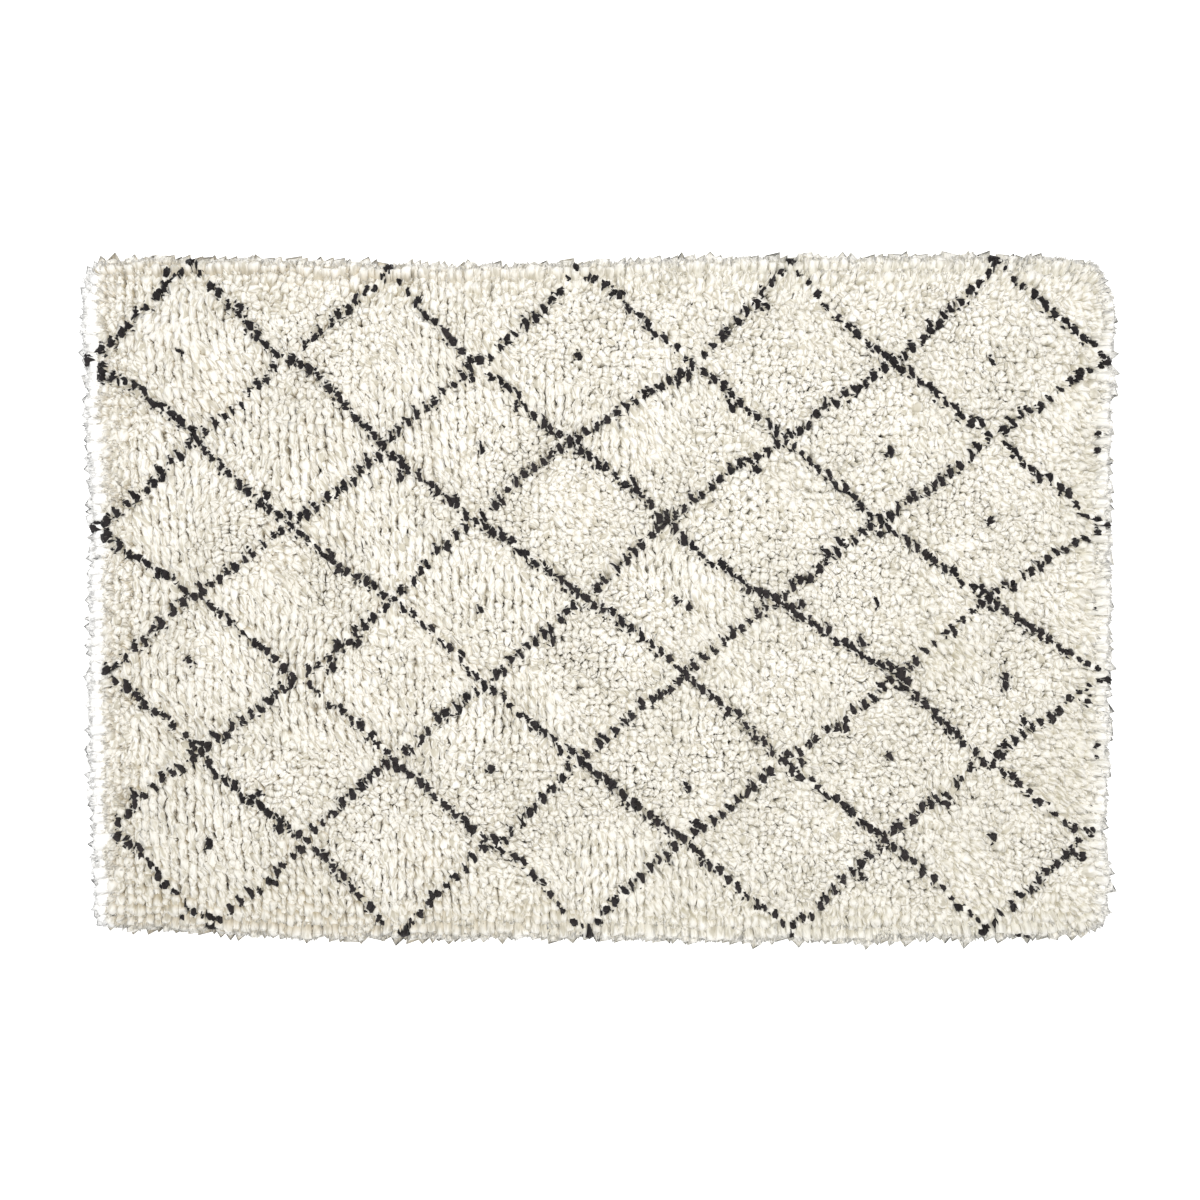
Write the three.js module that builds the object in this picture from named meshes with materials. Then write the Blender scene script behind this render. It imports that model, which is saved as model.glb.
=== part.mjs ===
// A hand-knotted wool rug with a shaggy pile, lying flat on a floor.
// It is one piece of knotted cloth, so it is one solid: a lumpy slab of pile, with wool locks fanned out
// round its rim.
// Units are millimetres and +Z is up. The underside lies in the plane z = 0, with the origin at its middle.
// +X runs along the rug's length and +Y across its width.
import * as THREE from "three";

// Driving dimensions
const PILE_TOP = 24; // mean height of the pile over the floor
const SHOULDER_HEIGHT = 13; // height at which the pile rolls over into the rim's wall
const SHOULDER_INSET = 2; // how far that shoulder lies inside the foot of the wall
const CROWN_INSET = 15; // how far the flat of the pile starts inside the rim
const RIM_DROP = 3; // how far the pile is lower there
const LOCK_REACH = { shortest: 9, longest: 17 }; // how far the locks stand out from the wall
const LOCK_ROOM = 0.68; // a lock's share of its stretch of rim; the rest is the gap beside it
const LOCK_SWAY = 4; // how far a lock's tip strays along the rim, either way
const LOCK_BEND = { share: 0.6, height: 9, width: 0.8 }; // a lock's section at this share of its reach
const LOCK_TIP_HEIGHT = 2.5;
const TUFT_RISE = 2.5; // the most that a bunch of tufts stands over or under the lump that it is on
const TUFT_STRAY = 5; // the most that it strays along the rug, either way

// The pile's lumps: broad swells, and the clumps that the tufts lean together in
const LUMPS = [
  { length: 310, rise: 1.2 },
  { length: 84, rise: 3.2 },
];

// The mesh: steps of the crown's grid along the length and width, and wall panels for each step at the rim
const STEPS_LONG = 60;
const STEPS_WIDE = 40;
const PANELS_PER_STEP = 3; // every even panel grows a lock and every odd one is a gap

// The level pad in the middle of the underside: its low and high corner
const PAD = { x0: -420, y0: -220, x1: 300, y1: 220 };

// The foot of the wall, side by side and anticlockwise: a row for each place where a side bows in or out
const SIDES = {
  south: [
    { x: -875, y: -563 },
    { x: -782, y: -568 },
    { x: -500, y: -584 },
    { x: -40, y: -584 },
    { x: 274, y: -590 },
    { x: 696, y: -585 },
    { x: 828, y: -579 },
    { x: 874, y: -563 },
  ],
  east: [
    { x: 874, y: -563 },
    { x: 882, y: -510 },
    { x: 878, y: -407 },
    { x: 884, y: -205 },
    { x: 886, y: 270 },
    { x: 891, y: 510 },
    { x: 870, y: 570 },
  ],
  north: [
    { x: 870, y: 570 },
    { x: 820, y: 584 },
    { x: 168, y: 587 },
    { x: -201, y: 575 },
    { x: -571, y: 585 },
    { x: -782, y: 588 },
    { x: -882, y: 583 },
  ],
  west: [
    { x: -882, y: 583 },
    { x: -894, y: 535 },
    { x: -892, y: 349 },
    { x: -885, y: 173 },
    { x: -886, y: -205 },
    { x: -881, y: -407 },
    { x: -875, y: -563 },
  ],
};

const WOOL = new THREE.MeshStandardMaterial({
  name: "cream wool",
  color: 0xece6d6,
  roughness: 0.95,
  metalness: 0,
});

// A seeded stream of numbers from 0 to 1, so that the rug comes out alike each time.
function randomStream(seed) {
  let state = seed;
  return () => {
    state = (state + 0x6d2b79f5) | 0;
    let mixed = Math.imul(state ^ (state >>> 15), 1 | state);
    mixed = (mixed + Math.imul(mixed ^ (mixed >>> 7), 61 | mixed)) ^ mixed;
    return ((mixed ^ (mixed >>> 14)) >>> 0) / 2 ** 32;
  };
}

const random = randomStream(1807);
const spread = (reach) => (2 * random() - 1) * reach;
const between = (low, high) => low + (high - low) * random();

// Each side as a smooth curve from corner to corner
function curveOf(rows) {
  const points = rows.map((row) => new THREE.Vector3(row.x, row.y, 0));
  return new THREE.CatmullRomCurve3(points, false, "centripetal");
}

const south = curveOf(SIDES.south);
const east = curveOf(SIDES.east);
const north = curveOf(SIDES.north);
const west = curveOf(SIDES.west);

// A place on the rug: u runs from the west side to the east one, and v from the south side to the north one.
function placeOn(u, v) {
  const s = south.getPointAt(u);
  const n = north.getPointAt(1 - u);
  const w = west.getPointAt(1 - v);
  const e = east.getPointAt(v);
  const [sw, se] = [SIDES.south[0], SIDES.east[0]];
  const [ne, nw] = [SIDES.north[0], SIDES.west[0]];
  const blend = (key) =>
    (1 - v) * s[key] +
    v * n[key] +
    (1 - u) * w[key] +
    u * e[key] -
    (1 - u) * (1 - v) * sw[key] -
    u * (1 - v) * se[key] -
    u * v * ne[key] -
    (1 - u) * v * nw[key];
  return { x: blend("x"), y: blend("y") };
}

// The mesh under construction
const corners = [];
const faces = [];

function addPoint(x, y, z) {
  corners.push(x, y, z);
  return corners.length / 3 - 1;
}

const addTriangle = (a, b, c) => faces.push(a, b, c);

function addQuad(a, b, c, d) {
  addTriangle(a, b, c);
  addTriangle(a, c, d);
}

// How far one kind of lump raises the pile: two waves that bend and cross, so that they never repeat in step
function lump({ length, rise }, x, y) {
  const across = (2 * Math.PI * x) / length;
  const along = (2 * Math.PI * y) / length;
  return rise * (Math.sin(across + 1.3 * Math.sin(along)) + 0.6 * Math.sin(1.7 * along - 0.6 * across));
}

// The crown: a grid of bunches of tufts, each raised and shifted a little, as indices by column and row
function makeCrown() {
  const inset = {
    u: CROWN_INSET / (SIDES.east[0].x - SIDES.south[0].x),
    v: CROWN_INSET / (SIDES.north[0].y - SIDES.east[0].y),
  };
  const grid = [];
  for (let i = 0; i <= STEPS_LONG; i++) {
    grid.push([]);
    for (let j = 0; j <= STEPS_WIDE; j++) {
      const u = inset.u + (1 - 2 * inset.u) * (i / STEPS_LONG);
      const v = inset.v + (1 - 2 * inset.v) * (j / STEPS_WIDE);
      const { x, y } = placeOn(u, v);
      const atRim = i === 0 || j === 0 || i === STEPS_LONG || j === STEPS_WIDE;
      const stray = atRim ? 0 : TUFT_STRAY;
      const rise = LUMPS.reduce((sum, row) => sum + lump(row, x, y), 0);
      const height = PILE_TOP - (atRim ? RIM_DROP : 0) + rise + spread(TUFT_RISE);
      grid[i].push(addPoint(x + spread(stray), y + spread(stray), height));
    }
  }
  for (let i = 0; i < STEPS_LONG; i++)
    for (let j = 0; j < STEPS_WIDE; j++) {
      const [a, b, c, d] = [grid[i][j], grid[i + 1][j], grid[i + 1][j + 1], grid[i][j + 1]];
      if ((i + j) % 2) addQuad(b, c, d, a);
      else addQuad(a, b, c, d);
    }
  return grid;
}

// The crown's edge as one ring of indices, anticlockwise from the south-west corner
function ringOf(grid) {
  const ring = [];
  for (let i = 0; i < STEPS_LONG; i++) ring.push(grid[i][0]);
  for (let j = 0; j < STEPS_WIDE; j++) ring.push(grid[STEPS_LONG][j]);
  for (let i = STEPS_LONG; i > 0; i--) ring.push(grid[i][STEPS_WIDE]);
  for (let j = STEPS_WIDE; j > 0; j--) ring.push(grid[0][j]);
  return ring;
}

// The foot of the wall as points with their outward direction, in step with the crown's ring
function footPlan() {
  const points = [];
  const walk = (curve, steps) => {
    const panels = steps * PANELS_PER_STEP;
    for (let k = 0; k < panels; k += 2) {
      points.push(curve.getPointAt(k / panels));
      points.push(curve.getPointAt((k + 2 * LOCK_ROOM) / panels));
    }
  };
  walk(south, STEPS_LONG);
  walk(east, STEPS_WIDE);
  walk(north, STEPS_LONG);
  walk(west, STEPS_WIDE);
  return points.map((point, k) => {
    const before = points[(k + points.length - 1) % points.length];
    const after = points[(k + 1) % points.length];
    const along = after.clone().sub(before).normalize();
    return { point, along, out: new THREE.Vector3(along.y, -along.x, 0) };
  });
}

// A ring of points a little inside the foot, at a height
function ringAt(plan, inset, height) {
  return plan.map(({ point, out }) => addPoint(point.x - inset * out.x, point.y - inset * out.y, height));
}

// A lock of wool on one panel of the wall: four-sided, level on the floor and drawn out to a tip
function addLock(plan, k, foot, shoulder) {
  const next = (k + 1) % plan.length;
  const middle = plan[k].point.clone().add(plan[next].point).multiplyScalar(0.5);
  const { along, out } = plan[k];
  const reach = between(LOCK_REACH.shortest, LOCK_REACH.longest);
  const sway = spread(LOCK_SWAY);
  const halfWidth = (plan[k].point.distanceTo(plan[next].point) * LOCK_BEND.width) / 2;
  const place = (share, side, height) => {
    const x = middle.x + out.x * reach * share + along.x * (side + sway * share);
    const y = middle.y + out.y * reach * share + along.y * (side + sway * share);
    return addPoint(x, y, height);
  };
  const { share, height } = LOCK_BEND;
  const root = [foot[k], foot[next], shoulder[next], shoulder[k]];
  const bend = [
    place(share, -halfWidth, 0),
    place(share, halfWidth, 0),
    place(share, halfWidth, height),
    place(share, -halfWidth, height),
  ];
  const tip = place(1, 0, LOCK_TIP_HEIGHT);
  for (let side = 0; side < 4; side++) {
    const turn = (side + 1) % 4;
    addQuad(root[side], root[turn], bend[turn], bend[side]);
    addTriangle(bend[side], bend[turn], tip);
  }
}

// The wall round the rim: plain panels and locks in turn
function makeWall(plan, foot, shoulder) {
  for (let k = 0; k < plan.length; k++) {
    const next = (k + 1) % plan.length;
    if (k % 2) addQuad(foot[k], foot[next], shoulder[next], shoulder[k]);
    else addLock(plan, k, foot, shoulder);
  }
}

// The roll of the pile from the crown's coarse ring down to the shoulder's fine one
function makeRoll(crown, shoulder) {
  for (let step = 0; step < crown.length; step++) {
    const inner = crown[step];
    const nextInner = crown[(step + 1) % crown.length];
    for (let panel = 0; panel < PANELS_PER_STEP; panel++) {
      const k = step * PANELS_PER_STEP + panel;
      const next = (k + 1) % shoulder.length;
      addTriangle(shoulder[k], shoulder[next], panel === 0 ? inner : nextInner);
      if (panel === 0) addTriangle(shoulder[next], nextInner, inner);
    }
  }
}

// The underside: level, with a plain pad in its middle
function makeUnderside(plan, foot) {
  const padPoints = [
    new THREE.Vector3(PAD.x0, PAD.y0, 0),
    new THREE.Vector3(PAD.x0, PAD.y1, 0),
    new THREE.Vector3(PAD.x1, PAD.y1, 0),
    new THREE.Vector3(PAD.x1, PAD.y0, 0),
  ];
  const pad = padPoints.map(({ x, y }) => addPoint(x, y, 0));
  const rim = plan.map(({ point }) => point);
  const indices = [...foot, ...pad];
  for (const [a, b, c] of THREE.ShapeUtils.triangulateShape(rim, [padPoints]))
    addTriangle(indices[a], indices[c], indices[b]);
  addQuad(pad[0], pad[1], pad[2], pad[3]);
}

const plan = footPlan();
const crown = ringOf(makeCrown());
const shoulder = ringAt(plan, SHOULDER_INSET, SHOULDER_HEIGHT);
const foot = ringAt(plan, 0, 0);
makeRoll(crown, shoulder);
makeWall(plan, foot, shoulder);
makeUnderside(plan, foot);

// The locks reach unevenly far, so the finished shape is centred by its own box.
const geometry = new THREE.BufferGeometry();
geometry.setAttribute("position", new THREE.Float32BufferAttribute(corners, 3));
geometry.setIndex(faces);
geometry.computeBoundingBox();
const middle = geometry.boundingBox.getCenter(new THREE.Vector3());
geometry.translate(-middle.x, -middle.y, 0);
geometry.computeVertexNormals();

const rug = new THREE.Mesh(geometry, WOOL);
rug.name = "rug";

const group = new THREE.Group();
group.add(rug);

export default group;
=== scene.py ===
"""A hand-knotted wool shag rug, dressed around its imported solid.

The rug lies flat on a pale floor. A thin woven ground carries some eight thousand knotted tufts of
cream wool, and single tufts of charcoal wool draw a lattice of lozenges among them. Units are metres.
+X runs along the rug's length, +Y across its width, and its underside lies in the plane z = 0.
"""

import logging
import math
from dataclasses import astuple, dataclass, field, replace
from enum import Enum
from itertools import product
from typing import ClassVar

import bpy
import numpy as np
from mathutils.kdtree import KDTree
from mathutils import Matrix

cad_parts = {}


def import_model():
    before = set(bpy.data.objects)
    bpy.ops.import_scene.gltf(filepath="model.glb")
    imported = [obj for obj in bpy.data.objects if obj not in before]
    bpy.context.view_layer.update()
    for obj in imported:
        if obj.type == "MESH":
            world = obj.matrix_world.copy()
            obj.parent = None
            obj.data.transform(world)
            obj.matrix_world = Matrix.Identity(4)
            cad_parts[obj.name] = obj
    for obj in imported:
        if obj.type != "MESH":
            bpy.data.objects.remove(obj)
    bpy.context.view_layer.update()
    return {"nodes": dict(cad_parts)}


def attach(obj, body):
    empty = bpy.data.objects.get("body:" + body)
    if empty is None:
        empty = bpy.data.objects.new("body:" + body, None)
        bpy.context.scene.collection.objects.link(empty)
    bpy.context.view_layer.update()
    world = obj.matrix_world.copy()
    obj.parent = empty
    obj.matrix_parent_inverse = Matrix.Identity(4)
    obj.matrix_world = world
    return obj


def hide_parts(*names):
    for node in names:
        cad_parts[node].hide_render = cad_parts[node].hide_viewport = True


LOG = logging.getLogger("rug")
NODE = "rug"
BODY = "root"

# Heights in metres: where tufts are rooted, and the lowest that keeps their points inside the ground
ROOT_HEIGHT = 0.002
INSIDE_GROUND = 0.0014

# Half the rug's length and width, by which places on it are made shares
HALF_LENGTH = 0.9
HALF_WIDTH = 0.6

# The least lean that still has a heading, in radians
LEAST_LEAN = 1e-3

# A take is drawn as a number below this one, and the remainder picks one of those that are modelled
TAKES_DRAWN = 1000

# Places' x and y, a colour in linear red, green and blue, and the two ends of a stretch of values
Places = tuple[np.ndarray, np.ndarray]
Colour = tuple[float, float, float]
Stretch = tuple[float, float]


class Bunch(Enum):
    """A single yarn end, or how several stand together."""

    END = "end"
    LOCK = "lock"
    DASH = "dash"
    FIBRE = "fibre"


def deselect_all() -> None:
    """Deselects every object, so that an operator acts on the new one alone."""
    bpy.ops.object.select_all(action="DESELECT")


def select_only(piece: bpy.types.Object) -> None:
    """Makes one object the selected and active one.

    Args:
        piece: The object to select.
    """
    deselect_all()
    piece.select_set(True)
    bpy.context.view_layer.objects.active = piece


def mark(mesh: bpy.types.Mesh, label: str, values: np.ndarray) -> None:
    """Stores values on a mesh's points for its material to read.

    Args:
        mesh: The mesh.
        label: The attribute's name.
        values: A number or a vector for each point.
    """
    kind, key = ("FLOAT", "value") if values.ndim == 1 else ("FLOAT_VECTOR", "vector")
    attribute = mesh.attributes.new(label, kind, "POINT")
    attribute.data.foreach_set(key, values.ravel().astype(np.float32))


class Drift:
    """A smooth random field over the rug, of about unit height, made of a few crossing waves.

    Each wave's length lies between the two spreads of the field's own.
    """

    SPREADS: ClassVar[Stretch] = (0.7, 1.6)

    def __init__(self, random: np.random.Generator, length: float, waves: int = 9) -> None:
        """Draws the waves.

        Args:
            random: The stream that the waves are drawn from.
            length: The usual distance from crest to crest.
            waves: How many waves cross.
        """
        heading = random.uniform(0, math.tau, waves)
        number = math.tau / (length * random.uniform(*self.SPREADS, waves))
        self.across = number * np.cos(heading)
        self.along = number * np.sin(heading)
        self.phase = random.uniform(0, math.tau, waves)

    def at(self, x: np.ndarray, y: np.ndarray) -> np.ndarray:
        """The field's height at some places.

        Args:
            x: Places along the rug.
            y: Places across it.

        Returns:
            One height for each place.
        """
        phase = np.multiply.outer(x, self.across) + np.multiply.outer(y, self.along) + self.phase
        return np.sin(phase).sum(axis=-1) * math.sqrt(2 / len(self.phase))


@dataclass(frozen=True)
class Outline:
    """The rug's four sides, each as its places in order and how far out it lies at each of them.

    The corner is how much of each side's ends belongs to a rounded corner.
    """

    west: np.ndarray
    east: np.ndarray
    south: np.ndarray
    north: np.ndarray
    corner: float = 0.05

    @classmethod
    def of(cls, node: bpy.types.Object, shoulder: float = 0.013, slack: float = 2e-5) -> "Outline":
        """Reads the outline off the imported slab, whose wall ends at a level shoulder all the way round.

        Args:
            node: The slab.
            shoulder: The shoulder's height.
            slack: How far a point on it may lie from that height.

        Returns:
            The outline.
        """
        points = np.array([vertex.co for vertex in node.data.vertices])
        ring = points[abs(points[:, 2] - shoulder) < slack][:, :2]
        low, high = ring.min(axis=0), ring.max(axis=0)
        x, y = ((2 * ring - low - high) / (high - low)).T
        return cls(
            west=cls._side(ring[-x > abs(y)], along=1),
            east=cls._side(ring[x > abs(y)], along=1),
            south=cls._side(ring[-y > abs(x)], along=0),
            north=cls._side(ring[y > abs(x)], along=0),
        )

    @staticmethod
    def _side(points: np.ndarray, along: int, decimals: int = 5) -> np.ndarray:
        """Puts one side's points in order.

        Args:
            points: The points, of which some coincide.
            along: The axis that the side runs along.
            decimals: Points are the same when they agree to so many decimals.

        Returns:
            A row of places along the side, and a row of how far out it lies at them.
        """
        chosen = np.unique(np.round(points, decimals), axis=0)
        chosen = chosen[np.argsort(chosen[:, along])]
        return np.array([chosen[:, along], chosen[:, 1 - along]])

    def _facing(self, low: np.ndarray, high: np.ndarray, at: np.ndarray) -> Places:
        """Reads two facing sides, each as it would run on straight past its rounded corners.

        Args:
            low: The side with the lower values.
            high: The one that faces it.
            at: Places along them.

        Returns:
            Both sides' values at those places.
        """
        start, end = low[0][0] + self.corner, low[0][-1] - self.corner
        inside = np.clip(at, start, end)
        return np.interp(inside, *low), np.interp(inside, *high)

    def place(self, u: np.ndarray, v: np.ndarray, margin: float = 0.0) -> Places:
        """Turns shares of the rug into places on it.

        Args:
            u: Shares from the west side to the east one.
            v: Shares from the south side to the north one.
            margin: How far the places keep inside the outline.

        Returns:
            The places' x and y.
        """
        level = self.west[0][0] + v * (self.west[0][-1] - self.west[0][0])
        west, east = self._facing(self.west, self.east, level)
        x = west + margin + u * (east - west - 2 * margin)
        south, north = self._facing(self.south, self.north, x)
        y = south + margin + v * (north - south - 2 * margin)
        y = np.clip(y, np.interp(x, *self.south) + margin, np.interp(x, *self.north) - margin)
        x = np.clip(x, np.interp(y, *self.west) + margin, np.interp(y, *self.east) - margin)
        return x, y


@dataclass(frozen=True)
class Ring:
    """One ring of a strand: its share of the length and of the width."""

    height: float
    width: float


@dataclass(frozen=True)
class Strand:
    """One closed strand of a bunch, in shares of the bunch's own width and length."""

    sides: int
    rings: tuple[Ring, ...]
    x: float = 0.0
    y: float = 0.0
    width: float = 1.0
    length: float = 1.0
    fan_x: float = 0.0
    fan_y: float = 0.0

    def model(self) -> bpy.types.Object:
        """Models the strand upright: a disc drawn up ring by ring, poked to a tip and closed below.

        Returns:
            The strand as a mesh object.
        """
        deselect_all()
        foot = self.rings[0]
        bpy.ops.mesh.primitive_circle_add(
            vertices=self.sides,
            radius=self.width * foot.width / 2,
            fill_type="NGON",
            location=(self.x, self.y, 0),
        )
        strand = bpy.context.object
        bpy.ops.object.transform_apply(location=True, rotation=False, scale=False)
        bpy.ops.object.mode_set(mode="EDIT")
        bpy.ops.mesh.select_mode(type="FACE")
        bpy.ops.mesh.select_all(action="SELECT")
        shift = np.array([self.x, self.y, 0.0])
        for low, high in zip(self.rings, self.rings[1:]):
            rise = (high.height - low.height) * self.length
            drawn = np.array([self.fan_x * rise, self.fan_y * rise, rise])
            shift = shift + drawn
            scale = high.width / low.width
            bpy.ops.mesh.extrude_region_move(TRANSFORM_OT_translate={"value": tuple(drawn)})
            bpy.ops.transform.resize(value=(scale, scale, 1), center_override=tuple(shift))
        bpy.ops.mesh.poke(offset=(1 - self.rings[-1].height) * self.length)
        bpy.ops.mesh.select_mode(type="EDGE")
        bpy.ops.mesh.select_all(action="DESELECT")
        bpy.ops.mesh.select_non_manifold()
        bpy.ops.mesh.edge_face_add()
        bpy.ops.mesh.select_all(action="SELECT")
        bpy.ops.mesh.normals_make_consistent(inside=False)
        bpy.ops.mesh.quads_convert_to_tris(quad_method="BEAUTY", ngon_method="BEAUTY")
        bpy.ops.object.mode_set(mode="OBJECT")
        return strand


@dataclass(frozen=True)
class Form:
    """A modelled bunch as plain arrays: its points and its triangles."""

    points: np.ndarray
    faces: np.ndarray

    @classmethod
    def of(cls, strands: list[Strand], jitter: float, seed: int) -> "Form":
        """Models the strands, joins them and roughens them a little.

        Args:
            strands: The bunch's strands.
            jitter: How far a point strays, in shares of the bunch.
            seed: The seed of that straying.

        Returns:
            The bunch. Its object is removed once it has been read.
        """
        models = [strand.model() for strand in strands]
        deselect_all()
        for model in models:
            model.select_set(True)
        bpy.context.view_layer.objects.active = models[0]
        if len(models) > 1:
            bpy.ops.object.join()
        bunch = bpy.context.object
        mesh = bunch.data
        points = np.zeros(len(mesh.vertices) * 3)
        mesh.vertices.foreach_get("co", points)
        faces = np.zeros(len(mesh.polygons) * 3, dtype=np.int32)
        mesh.polygons.foreach_get("vertices", faces)
        bpy.data.objects.remove(bunch)
        bpy.data.meshes.remove(mesh)
        points = points.reshape(-1, 3)
        random = np.random.default_rng(seed)
        points[:, :2] += random.normal(0, jitter, (len(points), 2))
        return cls(points, faces.reshape(-1, 3))


# Each strand's rings from its foot up. A lobe is widest at its foot, where it hides the ground
LOBE_RINGS = (Ring(0, 1.7), Ring(0.895, 1.0), Ring(0.968, 0.79))
BLOB_RINGS = (Ring(0, 0.8), Ring(0.8, 1.0), Ring(0.94, 0.74))
LOCK_RINGS = (Ring(0, 0.9), Ring(0.55, 1.0))
WISP_RINGS = (Ring(0, 0.9), Ring(0.84, 1.0))
THIN_SIDES = 3


def stirred(wobble: np.ndarray, count: int, step: int, start: int) -> np.ndarray:
    """Some numbers of a take's wobble, from a start on and a step apart."""
    return wobble[(step * np.arange(count) + start) % len(wobble)]


@dataclass(frozen=True)
class YarnEnd:
    """A yarn end: a lobe whose radius of one fills the end's room, and a thin wisp inside it.

    The lobe fans out to a side of its own, and the wisp stands off the middle and is a little taller.
    """

    length: float = 0.97
    uneven: float = 0.03
    lobe_sides: int = 7
    lobe_width: float = 2.0
    lobe_fan: float = 0.2
    wisp_width: float = 0.62
    wisp_out: float = 0.66
    wisp_stray: float = 0.1
    wisp_fan: float = 0.15
    wisp_taller: float = 0.02

    def strands(self, wobble: np.ndarray) -> list[Strand]:
        """Lays out one take.

        Args:
            wobble: The take's wobble.

        Returns:
            The strands.
        """
        length = self.length + self.uneven * wobble[0]
        fan_x, fan_y = self.lobe_fan * wobble[1:3]
        turn = math.pi * wobble[3]
        out = self.wisp_out + self.wisp_stray * wobble[4]
        x, y = out * math.cos(turn), out * math.sin(turn)
        lobe = Strand(self.lobe_sides, LOBE_RINGS, 0, 0, self.lobe_width, length, fan_x, fan_y)
        taller, fan = length + self.wisp_taller, self.wisp_fan
        wisp = Strand(THIN_SIDES, WISP_RINGS, x, y, self.wisp_width, taller, fan * x, fan * y)
        return [lobe, wisp]


@dataclass(frozen=True)
class Lock:
    """A lock: strands side by side that fan out to their tips."""

    count: int = 7
    width: float = 0.56
    spacing: float = 0.14
    stagger: float = 0.2
    length: float = 0.84
    uneven: float = 0.16
    fan: float = 0.1
    fan_stray: float = 0.15

    def strands(self, wobble: np.ndarray) -> list[Strand]:
        """Lays out one take.

        Args:
            wobble: The take's wobble.

        Returns:
            The strands.
        """
        strands = []
        longer = stirred(wobble, self.count, step=5, start=4)
        turned = stirred(wobble, self.count, step=7, start=3)
        for index in range(self.count):
            aside = index - self.count // 2
            x, y = self.stagger * wobble[index], self.spacing * aside
            length = self.length + self.uneven * longer[index]
            fan_y = self.fan * aside + self.fan_stray * turned[index]
            strands.append(Strand(THIN_SIDES, LOCK_RINGS, x, y, self.width, length, fan_y=fan_y))
        return strands


@dataclass(frozen=True)
class Dash:
    """A charcoal tuft: two blobs that fall apart, and over them a round of strands.

    The strands are gathered at their foot and fan out to their reach. Each stands further out than the
    last, by the golden angle round from it, is a little shorter and leans forward. The blobs stray
    aside.
    """

    blobs: tuple[Strand, Strand] = (
        Strand(5, BLOB_RINGS, x=0.08, width=0.58, length=0.96, fan_x=0.08),
        Strand(5, BLOB_RINGS, x=-0.12, width=0.5, length=0.93, fan_x=-0.1),
    )
    asides: tuple[float, float] = (0.05, 0.08)
    count: int = 6
    width: float = 0.25
    reach: float = 0.74
    gathering: float = 0.55
    golden: float = 2.4
    turn_stray: float = 0.5
    length: float = 0.93
    shortening: float = 0.08
    uneven: float = 0.07
    forward: float = 0.12

    def strands(self, wobble: np.ndarray) -> list[Strand]:
        """Lays out one take.

        Args:
            wobble: The take's wobble.

        Returns:
            The strands.
        """
        aside = self.asides * wobble[8:10]
        strands = [replace(blob, y=y) for blob, y in zip(self.blobs, aside)]
        longer = stirred(wobble, self.count, step=5, start=4)
        for index in range(self.count):
            turn = self.golden * index + self.turn_stray * wobble[index]
            out = self.gathering * self.reach * math.sqrt(index / (self.count - 1))
            x, y = out * math.cos(turn), out * math.sin(turn)
            length = self.length - self.shortening * index / self.count + self.uneven * longer[index]
            fan_x, fan_y = x + self.forward, y
            strands.append(Strand(THIN_SIDES, WISP_RINGS, x, y, self.width, length, fan_x, fan_y))
        return strands


@dataclass(frozen=True)
class BunchMaker:
    """Models several takes of each kind of bunch, each upright and with +x as the way it will lean.

    Each take is made uneven by its wobble, some numbers from -1 to 1. Its points stray by the jitter,
    but those of a fibre don't.
    """

    end: YarnEnd = YarnEnd()
    lock: Lock = Lock()
    dash: Dash = Dash()
    takes: int = 8
    jitter: float = 0.07
    wobbles: int = 12
    seed: int = 11

    def strands(self, kind: Bunch, random: np.random.Generator) -> list[Strand]:
        """Lays out the strands of one take.

        Args:
            kind: The kind of bunch.
            random: The stream that the take's wobble is drawn from.

        Returns:
            The strands.
        """
        wobble = random.uniform(-1, 1, self.wobbles)
        match kind:
            case Bunch.END:
                return self.end.strands(wobble)
            case Bunch.LOCK:
                return self.lock.strands(wobble)
            case Bunch.DASH:
                return self.dash.strands(wobble)
            case Bunch.FIBRE:
                return [Strand(THIN_SIDES, LOCK_RINGS)]

    def make(self) -> dict[Bunch, list[Form]]:
        """Models every kind of bunch.

        Returns:
            The takes of each kind.
        """
        random = np.random.default_rng(self.seed)
        made = {}
        for kind in Bunch:
            jitter = 0 if kind is Bunch.FIBRE else self.jitter
            takes = [self.strands(kind, random) for _ in range(self.takes)]
            made[kind] = [Form.of(take, jitter, self.seed + index) for index, take in enumerate(takes)]
            LOG.info("modelled %s: %d triangles", kind.value, len(made[kind][0].faces))
        return made


@dataclass(frozen=True)
class Bend:
    """Where bent bunches' middles lie.

    It holds the way that each bunch heads, and its angle from upright, its reach and its rise at some
    heights along it.
    """

    head_x: np.ndarray
    head_y: np.ndarray
    angle: np.ndarray
    reach: np.ndarray
    rise: np.ndarray


@dataclass(frozen=True)
class Habit:
    """How the bunches of a planting bend and how uneven they are.

    A bunch has a share of its lean at its root, its stand, and gets the rest by bending. It stays above
    the floor height, and its points stray by the unevenness.
    """

    stand: float = 0.4
    floor: float = 0.0004
    unevenness: float = 0.0009


@dataclass(frozen=True)
class Press:
    """How bunches are pressed up against their neighbours.

    A bunch reaches at most so far where it has no neighbour, and towards a neighbour's middle at least
    so far. A neighbour walls off the directions that face it by more than the glancing share. In the
    others its wall stands far off. The walls of all neighbours are blended by a power, their sharpness.
    """

    most: float
    least: float = 0.0015
    far: float = 1.0
    neighbours: int = 9
    directions: int = 16
    glancing: float = 0.05
    sharpness: int = 10


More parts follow.
